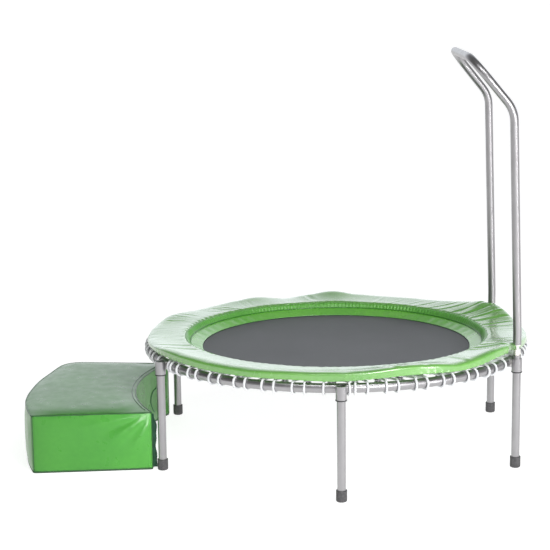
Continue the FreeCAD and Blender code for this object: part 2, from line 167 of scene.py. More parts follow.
def smooth_step(x, low, high):
    t = np.clip((x - low) / (high - low), 0, 1)
    return t * t * (3 - 2 * t)


def tube(path, radius, sides, closed=False):
    """Points, faces and uvs of a tube along a path, with u round it and v along it in metres."""
    path = np.asarray(path, float)
    ahead = np.roll(path, -1, 0) - np.roll(path, 1, 0)
    if not closed:
        ahead[0], ahead[-1] = path[1] - path[0], path[-1] - path[-2]
    ahead /= np.linalg.norm(ahead, axis=1)[:, None]
    side = np.cross(ahead[0], (0, 0, 1))
    if np.linalg.norm(side) < 0.1:
        side = np.cross(ahead[0], (1, 0, 0))
    points, uvs = [], []
    along = 0
    for i, (centre, direction) in enumerate(zip(path, ahead)):
        side = side - direction * side.dot(direction)
        side /= np.linalg.norm(side)
        other = np.cross(direction, side)
        if i:
            along += np.linalg.norm(centre - path[i - 1])
        for s in range(sides):
            turn = 2 * math.pi * s / sides
            points.append(centre + radius * (math.cos(turn) * side + math.sin(turn) * other))
            uvs.append((s / sides, along))
    faces = []
    count = len(path)
    for i in range(count if closed else count - 1):
        a, b = i * sides, (i + 1) % count * sides
        faces += [(a + s, a + (s + 1) % sides, b + (s + 1) % sides, b + s) for s in range(sides)]
    if not closed:
        faces.append(tuple(reversed(range(sides))))
        faces.append(tuple((count - 1) * sides + s for s in range(sides)))
    return points, faces, uvs


def joined(parts):
    """One list of points, faces and uvs from several."""
    points, faces, uvs = [], [], []
    for p, f, u in parts:
        base = len(points)
        points += list(p)
        uvs += list(u)
        faces += [tuple(base + v for v in face) for face in f]
    return points, faces, uvs


def tube_object(name, shape, material):
    """A mesh object from what tube() or joined() gives."""
    points, faces, uvs = shape
    return mesh_object(name, points, faces, material, uvs)


# ---- materials

class Nodes:
    """A node tree, with short ways to add to it."""

    def __init__(self, tree):
        self.tree = tree

    def node(self, kind, inputs=None, **settings):
        made = self.tree.nodes.new(kind)
        for key, value in settings.items():
            setattr(made, key, value)
        for key, value in (inputs or {}).items():
            if isinstance(value, bpy.types.NodeSocket):
                self.tree.links.new(value, made.inputs[key])
            else:
                made.inputs[key].default_value = value
        return made

    def ramp(self, value, stops, interpolation="LINEAR"):
        made = self.node("ShaderNodeValToRGB", {"Fac": value})
        ramp = made.color_ramp
        ramp.interpolation = interpolation
        while len(ramp.elements) < len(stops):
            ramp.elements.new(0.5)
        for element, (position, colour) in zip(ramp.elements, stops):
            element.position = position
            element.color = (*colour, 1)
        return made.outputs["Color"]

    def mix(self, factor, a, b, blend="MIX"):
        inputs = {"Factor": factor, "A": a, "B": b}
        return self.node("ShaderNodeMix", inputs, data_type="RGBA", blend_type=blend).outputs["Result"]


class Finish(Nodes):
    """A procedural material: a Principled shader and the nodes that feed it."""

    def __init__(self, name, colour, roughness, **sockets):
        self.material = bpy.data.materials.new(name)
        self.material.use_nodes = True
        super().__init__(self.material.node_tree)
        self.shader = self.tree.nodes["Principled BSDF"]
        self.shader.inputs["Base Color"].default_value = (*colour, 1)
        self.shader.inputs["Roughness"].default_value = roughness
        for socket, value in sockets.items():
            self.shader.inputs[socket.replace("_", " ")].default_value = value
        self.colour = colour
        self.coords = self.tree.nodes.new("ShaderNodeTexCoord").outputs
        self.bump = None

    def place(self, scale, source="Object"):
        return self.node("ShaderNodeMapping", {"Vector": self.coords[source], "Scale": scale}).outputs[0]

    def noise(self, scale, detail=3, roughness=0.55, stretch=None, distortion=0):
        inputs = {"Scale": scale, "Detail": detail, "Roughness": roughness, "Distortion": distortion}
        inputs["Vector"] = self.place(stretch) if stretch else self.coords["Object"]
        return self.node("ShaderNodeTexNoise", inputs).outputs["Fac"]

    def cells(self, scale):
        inputs = {"Scale": scale, "Vector": self.coords["Object"]}
        return self.node("ShaderNodeTexVoronoi", inputs).outputs["Distance"]

    def wave(self, scale, vector=None, direction="X", distortion=0):
        inputs = {"Scale": scale, "Distortion": distortion, "Vector": vector or self.coords["Object"]}
        return self.node("ShaderNodeTexWave", inputs, bands_direction=direction).outputs["Fac"]

    def math(self, operation, a, b):
        return self.node("ShaderNodeMath", {0: a, 1: b}, operation=operation).outputs[0]

    def blended(self, a, b, share):
        """One value from a share of a and the rest of b."""
        return self.math("ADD", self.math("MULTIPLY", a, share), self.math("MULTIPLY", b, 1 - share))

    def mapped(self, value, low, high, out_low, out_high):
        inputs = {"Value": value, "From Min": low, "From Max": high, "To Min": out_low, "To Max": out_high}
        return self.node("ShaderNodeMapRange", inputs).outputs["Result"]

    def colour_from(self, socket):
        self.tree.links.new(socket, self.shader.inputs["Base Color"])

    def roughness_from(self, socket, low, high):
        self.tree.links.new(self.mapped(socket, 0.3, 0.7, low, high), self.shader.inputs["Roughness"])

    def bump_from(self, height, strength, distance):
        made = self.node("ShaderNodeBump", {"Height": height, "Strength": strength, "Distance": distance})
        if self.bump is not None:
            self.tree.links.new(self.bump.outputs[0], made.inputs["Normal"])
        self.bump = made
        self.tree.links.new(made.outputs[0], self.shader.inputs["Normal"])


def scaled(colour, factor):
    return tuple(min(1, c * factor) for c in colour)


def mottle(finish, scale, darker, lighter, detail=3):
    """The base colour varies slowly between a darker and a lighter shade of itself."""
    shades = [(0.3, scaled(finish.colour, darker)), (0.7, scaled(finish.colour, lighter))]
    finish.colour_from(finish.ramp(finish.noise(scale, detail), shades))


def make_plain(name, colour, roughness, mottling, bumps, gloss=None, **sockets):
    """A mottled material. Each bump is a pattern, its settings, its strength and its depth in metres.

    gloss is the scale and detail of a noise, and the roughness where it is low and where it is high.
    """
    f = Finish(name, colour, roughness, **sockets)
    mottle(f, *mottling)
    if gloss:
        scale, detail, low, high = gloss
        f.roughness_from(f.noise(scale, detail), low, high)
    for pattern, settings, strength, depth in bumps:
        f.bump_from(getattr(f, pattern)(**settings), strength, depth)
    return f.material


def make_bright_steel():
    """Zinc-plated steel: a faint blotchy tint under a bright finish."""
    f = Finish("bright_steel", (0.86, 0.84, 0.80), 0.2, Metallic=1.0)
    f.colour_from(f.ramp(f.noise(55, 3), [(0.3, (0.80, 0.77, 0.71)), (0.7, (0.90, 0.89, 0.88))]))
    f.roughness_from(f.noise(120, 3), 0.14, 0.3)
    f.bump_from(f.noise(420, 3), 0.06, 0.0005)
    return f.material


def make_mat_weave():
    """Woven polypropylene: tapes of two directions over and under, with streaks along them."""
    f = Finish("mat_weave", (0.17, 0.175, 0.188), 0.6, Specular_IOR_Level=0.3)
    cloth = f.math("MULTIPLY", f.wave(190, direction="X"), f.wave(190, direction="Y"))
    streaks = [f.noise(90, 3, stretch=stretch) for stretch in ((0.05, 1, 1), (1, 0.05, 1))]
    tone = f.blended(*streaks, 0.6)
    shades = [(0.36, scaled(f.colour, 0.78)), (0.64, scaled(f.colour, 1.2))]
    base = f.ramp(f.blended(tone, f.noise(3.2, 3), 0.65), shades)
    f.colour_from(f.mix(f.mapped(cloth, 0, 1, 0.45, 0.0), base, (0.07, 0.072, 0.08, 1)))
    f.roughness_from(tone, 0.48, 0.66)
    f.bump_from(cloth, 0.35, 0.0006)
    return f.material


def make_cord_sleeve():
    """White braided sleeve of the elastic: two sets of yarns crossing on the surface, a little grubby."""
    f = Finish("cord_braid", (0.86, 0.87, 0.89), 0.62, Sheen_Weight=0.25, Sheen_Roughness=0.4)
    yarns = [f.wave(1, f.place((lean, 620, 1), "UV"), "DIAGONAL") for lean in (3, -3)]
    yarn = f.math("MULTIPLY", *yarns)
    base = f.ramp(f.noise(24, 3), [(0.3, (0.74, 0.75, 0.78)), (0.7, (0.92, 0.93, 0.94))])
    f.colour_from(f.mix(f.mapped(yarn, 0, 1, 0.16, 0.0), base, (0.42, 0.43, 0.46, 1)))
    f.bump_from(yarn, 0.4, 0.0005)
    return f.material


def make_vinyl(name, colour, roughness, coat, coat_roughness=0.22, grain=1.0, ior=1.5):
    """Laminated vinyl: fine leather grain, long soft creases and uneven gloss."""
    f = Finish(name, colour, roughness, Coat_Weight=coat, Coat_Roughness=coat_roughness, IOR=ior)
    tone = f.blended(f.noise(5.5, 4), f.noise(70, 3), 0.7)
    r, g, b = colour
    f.colour_from(f.ramp(tone, [(0.34, (r * 0.82, g * 0.88, b * 0.84)), (0.66, (r * 1.16, g * 1.08, b * 1.1))]))
    f.roughness_from(f.noise(26, 4), roughness * 0.8, roughness * 1.2)
    f.bump_from(f.cells(900), 0.05 * grain, 0.0003)
    f.bump_from(f.noise(150, 3, 0.5), 0.05 * grain, 0.0008)
    f.bump_from(f.noise(20, 3, 0.5, distortion=0.6), 0.12 * grain, 0.004)
    return f.material


def make_floor():
    """A pale floor that gives a little light of its own."""
    return make_plain("studio_floor", (0.5, 0.5, 0.5), 0.8, (0.8, 0.99, 1.01), [], Specular_IOR_Level=0.2,
                      Emission_Color=(1, 1, 1, 1), Emission_Strength=0.84)


# satin grey tube: fine drawn lines along it, and small pits
STEEL = make_plain(
    "satin_steel", (0.38, 0.373, 0.383), 0.3, (9, 0.93, 1.05),
    [("noise", dict(scale=900, detail=2, stretch=(1, 1, 0.06)), 0.05, 0.0004),
     ("noise", dict(scale=140), 0.015, 0.0006)],
    (38, 4, 0.29, 0.38), Metallic=0.95, Specular_IOR_Level=0.5)
BRIGHT = make_bright_steel()
# rippled and slightly heat-tinted
WELD = make_plain(
    "weld_bead", (0.66, 0.65, 0.64), 0.34, (160, 0.7, 1.12),
    [("wave", dict(scale=260, direction="Z", distortion=2.5), 0.35, 0.0012),
     ("noise", dict(scale=500), 0.2, 0.0006)],
    (200, 3, 0.25, 0.5), Metallic=1.0)
PLASTIC = make_plain(
    "black_plastic", (0.018, 0.018, 0.02), 0.3, (60, 0.8, 1.3),
    [("noise", dict(scale=700, detail=2), 0.08, 0.0004)], (90, 3, 0.24, 0.4))
# charcoal, with a moulded grain and scuffs
RUBBER = make_plain(
    "foot_rubber", (0.075, 0.073, 0.076), 0.62, (120, 0.65, 1.5, 4),
    [("noise", dict(scale=260, detail=4, roughness=0.65), 0.55, 0.0014),
     ("cells", dict(scale=420), 0.2, 0.0006)],
    (120, 4, 0.55, 0.75))
WEAVE = make_mat_weave()
# black polyester with a herringbone rib
WEBBING = make_plain(
    "rim_webbing", (0.03, 0.03, 0.034), 0.7, (70, 0.8, 1.35),
    [("wave", dict(scale=160, direction="DIAGONAL"), 0.5, 0.0008),
     ("wave", dict(scale=210, direction="Z"), 0.35, 0.0006)])
CORD = make_cord_sleeve()
PAD_VINYL = make_vinyl("pad_vinyl", (0.15, 0.42, 0.074), 0.24, 1.0, 0.2, ior=1.85)
BAND_VINYL = make_vinyl("band_vinyl", (0.15, 0.52, 0.06), 0.3, 0.9)
# painted shade: the band's green, darkened a little, for the pad's inner side, which lies in the shadow of the
# pad's edge above it
SHADED_WALL_VINYL = make_vinyl("shaded_wall_vinyl", (0.12, 0.43, 0.06), 0.44, 0.4, 0.35)
LINE_VINYL = make_vinyl("line_vinyl", (0.16, 0.48, 0.11), 0.3, 1.0)
STEP_VINYL = make_vinyl("step_vinyl", (0.048, 0.238, 0.027), 0.32, 0.3, 0.2, grain=0.25, ior=1.38)
PIPING_VINYL = make_vinyl("piping_vinyl", (0.05, 0.24, 0.03), 0.3, 0.4)
WELT_VINYL = make_vinyl("welt_vinyl", (0.018, 0.11, 0.02), 0.38, 0.3)
BASE_VINYL = make_vinyl("base_vinyl", (0.02, 0.05, 0.022), 0.6, 0.0)
ZIP = make_plain(
    "zip_tape", (0.012, 0.075, 0.035), 0.6, (90, 0.7, 1.3),
    [("wave", dict(scale=330, direction="Z"), 0.3, 0.0005), ("noise", dict(scale=500, detail=2), 0.2, 0.0004)])
# moulded nylon, a little shiny
TEETH = make_plain(
    "zip_teeth", (0.02, 0.10, 0.05), 0.35, (200, 0.7, 1.4),
    [("noise", dict(scale=900, detail=2), 0.1, 0.0002)])


def dress(material, *nodes):
    """Gives CAD nodes a material."""
    for name in nodes:
        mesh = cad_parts[name].data
        mesh.materials.clear()
        mesh.materials.append(material)


dress(STEEL, "ring_tube_front", "ring_tube_rear", "handle_bar", "mat_hooks")
dress(BRIGHT, "handle_stud_front", "handle_stud_rear", "coupling_nut_front", "coupling_nut_rear")
dress(BRIGHT, "leg_insert_front_right", "leg_insert_rear_right")
dress(WELD, "socket_welds")
for leg in LEGS:
    dress(STEEL, f"leg_tube_{leg}", f"leg_sleeve_{leg}")
    dress(PLASTIC, f"leg_collar_{leg}")
    dress(RUBBER, f"leg_foot_{leg}")
for leg in ("front", "rear", "rear_left", "front_left"):
    dress(PLASTIC, f"leg_cap_{leg}")
dress(WEBBING, "mat_webbing")


# ---- cloth

def evened(piece, field, rounds):
    """A field on the piece's points, each time averaged with what it is on the points next to it."""
    ends = np.zeros(len(piece.data.edges) * 2, np.int64)
    piece.data.edges.foreach_get("vertices", ends)
    one, two = ends[::2], ends[1::2]
    count = np.bincount(ends, minlength=len(field))[:, None]
    for _ in range(rounds):
        total = np.zeros_like(field)
        np.add.at(total, one, field[two])
        np.add.at(total, two, field[one])
        field = 0.4 * field + 0.6 * total / count
    return field


CLOTH_STIFFNESS, CLOTH_FRAMES = 15, 20


def puffed(piece, held, pressure, growth, cap, smoothing, bending=0.5):
    """Blows the piece up as cloth. held is 1 where a point stays, growth the spare cloth as a share.

    Each point then moves by the average of smoothing rounds over its neighbours, and never by more than cap.
    """
    rest = coordinates(piece)
    group = piece.vertex_groups.new(name="held")
    for level in np.unique(held):
        if level > 0:
            group.add([int(i) for i in np.nonzero(held == level)[0]], float(level), "REPLACE")
    modifier = piece.modifiers.new("Cloth", "CLOTH")
    settings = modifier.settings
    settings.quality = 5
    settings.mass = 0.3
    settings.tension_stiffness = settings.compression_stiffness = CLOTH_STIFFNESS
    settings.shear_stiffness = CLOTH_STIFFNESS / 2
    settings.bending_stiffness = bending
    settings.use_pressure = True
    settings.uniform_pressure_force = pressure
    settings.shrink_min = -growth
    settings.vertex_group_mass = "held"
    settings.effector_weights.gravity = 0
    modifier.collision_settings.use_collision = False
    modifier.point_cache.frame_start, modifier.point_cache.frame_end = 1, CLOTH_FRAMES
    scene = bpy.context.scene
    for step in range(1, CLOTH_FRAMES + 1):
        scene.frame_set(step)
    swollen = coordinates(piece.evaluated_get(bpy.context.evaluated_depsgraph_get()))
    piece.modifiers.clear()
    piece.vertex_groups.clear()
    scene.frame_set(1)
    move = evened(piece, swollen - rest, smoothing) * (held < 1)[:, None]
    size = np.linalg.norm(move, axis=1)
    limited = cap * np.tanh(size / cap) / np.maximum(size, 1e-9)
    set_coordinates(piece, rest + move * limited[:, None])
    return piece


# ---- camera and light

# fitted to the photograph: lengths in pixels, angles in degrees, places in metres
PHOTO_WIDTH, FOCAL_LENGTH, SENSOR_MM = 550, 1560, 36
AZIMUTH, ELEVATION, ROLL, DISTANCE = 0.89, 10.66, -0.70, 5.0103
CAMERA_TARGET = (-0.0062, -0.0030, 0.5486)


def make_camera():
    data = bpy.data.cameras.new("camera")
    data.sensor_width = SENSOR_MM
    data.lens = FOCAL_LENGTH / PHOTO_WIDTH * SENSOR_MM
    data.clip_end = 100
    camera = bpy.data.objects.new("camera", data)
    bpy.context.scene.collection.objects.link(camera)
    azimuth, elevation, roll = math.radians(AZIMUTH), math.radians(ELEVATION), math.radians(ROLL)
    back = Vector((math.sin(azimuth) * math.cos(elevation), -math.cos(azimuth) * math.cos(elevation),
                   math.sin(elevation)))
    right = Vector((math.cos(azimuth), math.sin(azimuth), 0))
    up = back.cross(right)
    x_axis = math.cos(roll) * right + math.sin(roll) * up
    y_axis = -math.sin(roll) * right + math.cos(roll) * up
    turn = Matrix((x_axis, y_axis, back)).transposed().to_4x4()
    camera.matrix_world = Matrix.Translation(Vector(CAMERA_TARGET) + back * DISTANCE) @ turn
    bpy.context.scene.camera = camera


def make_area_light(name, place, aim, size, power):
    data = bpy.data.lights.new(name, "AREA")
    data.shape = "RECTANGLE"
    data.size, data.size_y = size
    data.energy = power
    lamp = bpy.data.objects.new(name, data)
    lamp.location = place
    lamp.visible_camera = False
    lamp.rotation_euler = (Vector(aim) - Vector(place)).to_track_quat("-Z", "Y").to_euler()
    bpy.context.scene.collection.objects.link(lamp)
    return lamp


def make_world():
    """A white studio: brightest low behind the object, dim overhead and to the left, grey at the sides."""
    world = bpy.data.worlds.new("studio")
    world.use_nodes = True
    sky = Nodes(world.node_tree)
    coords = sky.node("ShaderNodeTexCoord")
    split = sky.node("ShaderNodeSeparateXYZ", {0: coords.outputs["Generated"]})

    def curve(axis, stops):
        """The light along an axis: a place from -1 to 1, its level, and how far it turns to blue."""
        along = sky.node("ShaderNodeMapRange", {"From Min": -1, "Value": split.outputs[axis]})
        tints = [((place + 1) / 2, (level * (1 - blue), level, level * (1 + blue)))
                 for place, level, blue in stops]
        return sky.ramp(along.outputs[0], tints, "EASE")

    sides = curve("X", [(-1, 0.16, 0), (-0.5, 0.6, 0), (-0.2, 1, 0), (0.5, 1, 0), (1, 0.45, 0)])
    upward = curve("Z", [(0, 1, 0), (0.36, 0.85, 0), (0.7, 0.22, 0), (1, 0.14, 0)])
    depth = curve("Y", [(-1, 0.28, 0), (0.2, 0.28, 0), (0.9, 0.52, 0.04)])
    light = sky.mix(1, sky.mix(1, sides, upward, "MULTIPLY"), depth, "MULTIPLY")
    seen = sky.node("ShaderNodeLightPath")
    shown = sky.mix(seen.outputs["Is Camera Ray"], light, (0.40, 0.40, 0.40, 1))
    background = sky.tree.nodes["Background"]
    sky.tree.links.new(shown, background.inputs["Color"])
    background.inputs["Strength"].default_value = 2.7
    bpy.context.scene.world = world


def make_studio():
    make_world()
    far = 200
    corners = [(-far, -far, 0), (far, -far, 0), (far, far, 0), (-far, far, 0)]
    mesh_object("floor", corners, [(0, 1, 2, 3)], make_floor())
    make_area_light("key", (1.9, -3.9, 2.1), (0.1, 0, 0.3), (1.3, 1.3), 98)
    make_area_light("top_strip", (0.3, -1.7, 3.2), (0.05, -0.2, 0.3), (2.4, 0.6), 32)
    make_area_light("right_strip", (2.6, -1.9, 0.75), (0.3, -0.2, 0.35), (0.22, 1.5), 15)
    view = bpy.context.scene.view_settings
    view.view_transform = "Standard"
    view.look = "None"


make_camera()
make_studio()


# ---- pad cover

# round the ring: angle, then the height of the top edge, the height of the hem and the radius, in millimetres
PAD_EDGE = [
    (-172, 357, 350.5, 606), (-163, 362, 351.5, 607), (-152, 372, 354, 608), (-143, 374, 354, 607),
    (-131, 372, 351.5, 606), (-117, 370.5, 351, 606), (-103, 372, 352.5, 606), (-90, 373.5, 351, 608),
    (-80, 378, 356, 607), (-71, 384, 359.5, 608), (-63, 379, 356, 607), (-54, 370, 350.5, 605),
    (-47, 376, 354, 607), (-38, 386, 364, 611), (-29, 384, 364, 611), (-20, 376, 357, 611),
    (-8, 366, 352, 610), (4, 362, 351, 609), (14, 368, 353, 610), (22, 384, 360, 612),
    (30, 391, 364, 616), (38, 377, 359, 612), (50, 364, 351.5, 606), (61, 361, 350.5, 604),
    (72, 360, 350.5, 604), (82, 364, 351.5, 606), (90, 373, 353, 608), (98, 363, 351.5, 605),
    (106, 356, 350.5, 602), (118, 366, 351.5, 605), (130, 360, 351, 604), (143, 358, 351, 604),
    (156, 366, 352, 607), (168, 359, 351, 606),
]
# the underside in mm: its height on the ring, the radius it slopes down from, its inner radius and height
PAD_FLOOR, PAD_LEVEL_FROM, PAD_INSIDE, PAD_INNER_FLOOR = 351.9, 588, 472, 340.1
# in mm: the seam's height, the hem's lowest height, and the radius where the pad's top begins
SEAM_Z, HEM_LOW, TOP_INSIDE = 339.6, 350.2, 487
# how many gathers the seam pulls up, and their seed; the pieces that meet there share them
SEAM_GATHERS = (236, 11)
# each radian that the section turns takes as many points as this many mm of its length
CLOSER = 14


def underside(radius):
    """The height of the pad's underside: level on the ring, and down to the seam inside it."""
    slope = (PAD_FLOOR - PAD_INNER_FLOOR) / (PAD_LEVEL_FROM - PAD_INSIDE)
    return np.minimum(PAD_FLOOR, PAD_INNER_FLOOR + (radius - PAD_INSIDE) * slope)


def inner_top(degrees):
    """The height of the pad's inner edge, at the top of its gathered side."""
    edge = periodic(PAD_EDGE, degrees, 1)
    return 360.5 - 3.0 * np.sin(np.radians(degrees)) + np.clip(0.12 * (edge - 372), -1.2, 2.2)


def notch(degrees):
    """1 at the middle of the cut-out that the cover has round each handle leg, 0 away from it."""
    return sum(np.exp(-(((degrees - a) / 2.1) ** 4)) for a in HANDLE_LEG_ANGLES)


def pad_outline(degrees):
    """The cover's section at each angle, as control points (radius, height) in millimetres."""
    edge = periodic(PAD_EDGE, degrees, 1)
    hem = np.maximum(periodic(PAD_EDGE, degrees, 2), HEM_LOW)
    out = periodic(PAD_EDGE, degrees, 3)
    cut = notch(degrees)
    out = out + cut * (602.5 - out)
    inner = inner_top(degrees)
    lift = hem - HEM_LOW
    skirt = edge - hem
    one = np.ones_like(edge)

    def under(radius, share):
        return radius * one, underside(radius) + share * lift

    def top(radius):
        across = (radius - TOP_INSIDE) / (out - 22 - TOP_INSIDE)
        return radius * one, inner + (edge + 1.2 - inner) * across**1.5

    points = [
        under(492, 0),
        under(520, 0),
        under(548, 0.1),
        under(572, 0.4),
        under(590, 0.8),
        (out - 8, hem + 1.4),
        (out - 3.5, hem + 0.8),
        (out - 0.5, hem - 0.6),
        (out + 1.5, hem + 1.2),
        (out + 1.2, hem + 0.3 * skirt),
        (out + 1.7, hem + 0.62 * skirt),
        (out + 1.6, hem + 0.9 * skirt),
        (out - 0.8, edge + 0.5),
        (out - 6, edge + 1.4),
        (out - 20, edge + 1.6),
        top(570),
        top(550),
        top(528),
        top(508),
        (496 * one, inner + 0.7),
        (489 * one, inner + 0.3),
        (485.6 * one, inner - 0.6),
        (484.6 * one, inner - 3.5),
        (484.4 * one, inner - 8),
        (484.4 * one, 348 * one),
        (485 * one, 343 * one),
    ]
    return np.stack([np.stack(p, -1) for p in points], 1)


def spline_weights(count, controls, mean):
    """Rows of uniform cubic B-spline weights for a closed loop, closer where the mean loop turns."""

    def rows(at):
        cell = np.floor(at).astype(int)
        t = at - cell
        basis = [(1 - t) ** 3 / 6, (3 * t**3 - 6 * t**2 + 4) / 6,
                 (-3 * t**3 + 3 * t**2 + 3 * t + 1) / 6, t**3 / 6]
        weights = np.zeros((len(at), controls))
        for k, b in enumerate(basis):
            weights[np.arange(len(at)), (cell - 1 + k) % controls] += b
        return weights

    fine = np.linspace(0, controls, 1500, endpoint=False)
    line = rows(fine) @ mean
    step = np.diff(line, axis=0)
    heading = np.unwrap(np.arctan2(step[:, 1], step[:, 0]))
    turning = np.abs(np.diff(heading, append=heading[-1]))
    length = np.concatenate([[0], np.cumsum(np.linalg.norm(step, axis=1) + CLOSER * turning)])
    return rows(np.interp(np.linspace(0, length[-1], count, endpoint=False), length, fine))


# folds: angle, turn over the pad's width, then in mm the half width, the height and the radii from and to
HAND_FOLDS = [
    (-31.5, 1.5, 6, 4, 470, 612), (-25.5, 2, 5, 3.4, 474, 612), (-20.5, 1, 4, -2.6, 476, 600),
    (-37, -2, 6, -3, 480, 600), (-16, 1.5, 4, 2.2, 470, 590),
    (33, -6, 6, 4.2, 470, 606), (27, -3.5, 5, -3.6, 474, 612), (21.5, -2, 5, 3.6, 476, 612),
    (16, -1, 6, -3, 472, 612), (10.5, 1, 5, 2.6, 474, 606), (5, 0.5, 4, -2, 480, 600),
    (39, -8, 6, -3, 474, 600), (45, -8, 5, 2.6, 472, 596), (51, -8, 5, -2, 472, 580),
    (57, -7, 4, 1.8, 472, 575), (64, -6, 4, 1.4, 470, 560), (98, 3, 8, -2, 520, 600),
    (133, 7, 5, 2.2, 474, 585), (137, 8, 5, -2.4, 480, 600), (141, 8, 4, 1.8, 500, 604),
    (151, 6, 5, 1.8, 530, 606), (156, 5, 4, -1.8, 530, 606), (161, 5, 4, 1.4, 520, 600),
    (-159, -6, 5, -2.2, 480, 606), (-152, -5, 6, 2, 490, 606), (-75, 3, 8, 2.4, 520, 610),
    (-66, 2, 8, -2.2, 510, 606), (-49, -3, 7, 2.2, 500, 606),
]


def all_folds():
    folds = list(HAND_FOLDS)
    for _ in range(60):
        angle = rng.uniform(-180, 180)
        long = rng.uniform() < 0.35
        start = 468 if rng.uniform() < 0.75 else rng.uniform(500, 550)
        end = start + (rng.uniform(70, 135) if long else rng.uniform(25, 60))
        height = rng.uniform(-0.8, 0.8)
        folds.append((angle, rng.uniform(-6, 6), rng.uniform(3, 7), height, start, min(end, 610)))
    return folds


def fold_height(degrees, radius, folds):
    """The folds' height at each point, in mm."""
    total = np.zeros_like(radius)
    for angle, turn, width, height, start, end in folds:
        middle = angle + turn * (radius - 540) / 135
        off = ((degrees - middle + 180) % 360 - 180) * math.pi / 180 * radius / width
        near = np.abs(off) < 4
        along = smooth_step(radius, start - 4, start + 10) * (1 - smooth_step(radius, end - 30, end + 6))
        ridge = np.exp(-(off**2) / 1.4) - 0.45 * np.exp(-((np.abs(off) - 1.9) ** 2))
        total += np.where(near, height * ridge * along, 0)
    return total


def gather(degrees, count, seed):
    """An uneven row of puckers round the ring, from -1 to 1."""
    local = np.random.default_rng(seed)
    angle = np.radians(degrees)
    warp = sum(local.uniform(0.2, 1.0) / k * np.sin(k * angle + local.uniform(0, 7)) for k in range(3, 17))
    swells = sum(local.uniform(0.2, 0.6) * np.sin(k * angle + local.uniform(0, 7)) for k in (7, 12, 19, 31))
    loud = 0.65 + 0.35 * swells
    return np.sin(count * angle + 2.2 * warp) * np.clip(loud, 0.15, 1.2)


def make_pad_cover():
    around, across = 600, 40
    angle = np.linspace(-math.pi, math.pi, around, endpoint=False)
    degrees = np.degrees(angle)
    control = pad_outline(degrees)
    weights = spline_weights(across, control.shape[1], control.mean(0))
    section = np.einsum("sc,acx->asx", weights, control)
    radius, height = section[..., 0], section[..., 1]
    grid_degrees = np.repeat(degrees[:, None], across, 1)
    on_top = smooth_step(height - underside(radius), 5, 12) * smooth_step(radius, 485, 498)
    height = height + fold_height(grid_degrees, radius, all_folds()) * on_top
    height += on_top * 0.5 * gather(grid_degrees, 23, 5) * smooth_step(radius, 500, 600)
    points = on_ring(grid_degrees * math.pi / 180, radius * MM, height * MM).reshape(-1, 3)
    piece = mesh_object("pad_skin", points, ring_faces(around, across), PAD_VINYL)
    floor = (height < underside(radius) + 1.2) & (radius < 600)
    hem = (height < periodic(PAD_EDGE, grid_degrees, 2) + 1.2) & (radius > 590)
    side = (radius < TOP_INSIDE) & (height < inner_top(grid_degrees) - 3)
    held = np.where(floor | hem | side, 1.0, 0.0).reshape(-1)
    puffed(piece, held, pressure=1.5, growth=0.005, cap=0.002, smoothing=5)
    subdivided(piece)
    points = coordinates(piece)
    out = normals(piece)
    x, y, z = points[:, 0] - AXIS_X, points[:, 1], points[:, 2] / MM
    radius, degrees = np.hypot(x, y) / MM, np.degrees(np.arctan2(y, x))
    from_edge = np.hypot(radius - TOP_INSIDE, z - inner_top(degrees))
    upper = smooth_step(z - underside(radius), 0.3, 3)
    puckers = 0.7 * gather(degrees, 120, 11) * np.exp(-((from_edge / 9) ** 2))
    puckers += 0.35 * gather(degrees, 61, 12) * np.exp(-((from_edge / 26) ** 2))
    hem_z = periodic(PAD_EDGE, degrees, 2)
    near_hem = np.exp(-(((z - hem_z) / 6.0) ** 2)) * smooth_step(radius, 596, 603)
    puckers += 1.1 * gather(degrees, 148, 21) * near_hem
    puckers *= upper
    points += out * (puckers * MM)[:, None]
    # nothing reaches below the hem's own line or into the cords
    lowest = np.where(radius > 590, 349.4, underside(radius) - 0.2)
    points[:, 2] = np.maximum(points[:, 2], lowest * MM)
    set_coordinates(piece, points)
    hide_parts("pad_cover", "pad_foam", "pad_hem_elastic")
    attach(piece, "frame")


def strip_grid(across):
    """The angles round the ring in degrees, and the shares across a strip, as a column and a row."""
    return np.linspace(-180, 180, 1440, endpoint=False)[:, None], np.linspace(0, 1, across)[None, :]


def gathered_strip(name, material, degrees, radius, height):
    """A strip of vinyl round the ring, from radii and heights in mm on a grid, made 0.9 mm thick."""
    points = on_ring(np.radians(degrees) + 0 * radius, radius * MM, height * MM).reshape(-1, 3)
    piece = mesh_object(name, points, ring_faces(*radius.shape, False), material)
    thickened(piece, 0.9 * MM, 1)
    piece.data.shade_smooth()
    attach(piece, "frame")
    return piece


def make_inner_side():
    """The pad's inner side, pulled up in tight gathers by the seam at its foot."""
    degrees, t = strip_grid(13)
    top = inner_top(degrees)
    stops = [0, 0.12, 0.3, 0.55, 0.8, 1]
    radius = np.interp(t, stops, [486, 482, 478, 475, 472.4, 470.2]) + 0 * degrees
    share = np.interp(t, stops, [0, 0.02, 0.16, 0.47, 0.8, 1])
    height = top - 2.0 - (top - 2.0 - SEAM_Z - 1) * share
    pulled = gather(degrees, *SEAM_GATHERS)
    deep = np.interp(t, stops, [0, 0.5, 1.5, 1.4, 0.9, 0.4])
    radius = radius - deep * (pulled - 0.3 * gather(degrees, 97, 14))
    height = height + pulled * np.interp(t, stops, [0, 0.3, 0.6, 0.2, 0, 0])
    # the inner side's vinyl carries painted shade
    side = gathered_strip("pad_inner_side", SHADED_WALL_VINYL, degrees, radius, height)


